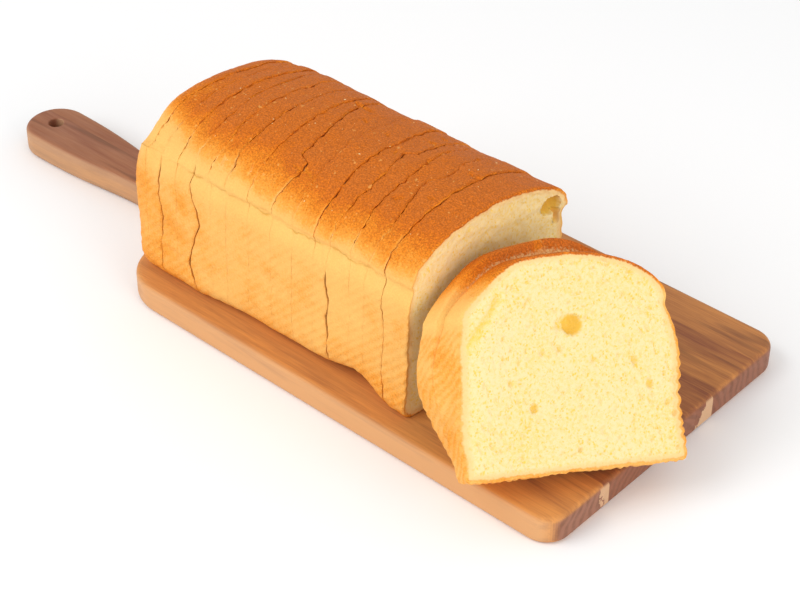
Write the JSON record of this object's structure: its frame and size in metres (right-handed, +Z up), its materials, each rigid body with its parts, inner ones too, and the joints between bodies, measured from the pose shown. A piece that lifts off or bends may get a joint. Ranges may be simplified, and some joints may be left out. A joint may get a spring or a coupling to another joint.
{
  "type": "sliced brioche loaf on a board",
  "caption": "Sliced pan-baked brioche loaf on a wooden paddle board, with two loose slices leaning against its cut face.",
  "frame": {"origin": "middle of the whole object's footprint, on the surface that the board stands on", "axes": "+X along the board from its handle to its free end, +Z up, -Y the long side that the loaf stands nearer to"},
  "size_m": [0.449, 0.1992, 0.1133],
  "materials": {
    "board_wood": "oiled hardwood with streaked grain, satin",
    "bread": "matte baked brioche: golden-brown crust, pale yellow open crumb on the cut faces"
  },
  "bodies": {
    "root": {"board": "board_wood", "slice_01": "bread", "slice_02": "bread", "slice_03": "bread", "slice_04": "bread", "slice_05": "bread", "slice_06": "bread", "slice_07": "bread", "slice_08": "bread", "slice_09": "bread", "slice_10": "bread", "slice_11": "bread", "slice_12": "bread", "slice_13": "bread", "slice_14": "bread", "heel_slice": "bread", "leaning_slice_front": "bread", "leaning_slice_back": "bread"}
  },
  "joints": []
}
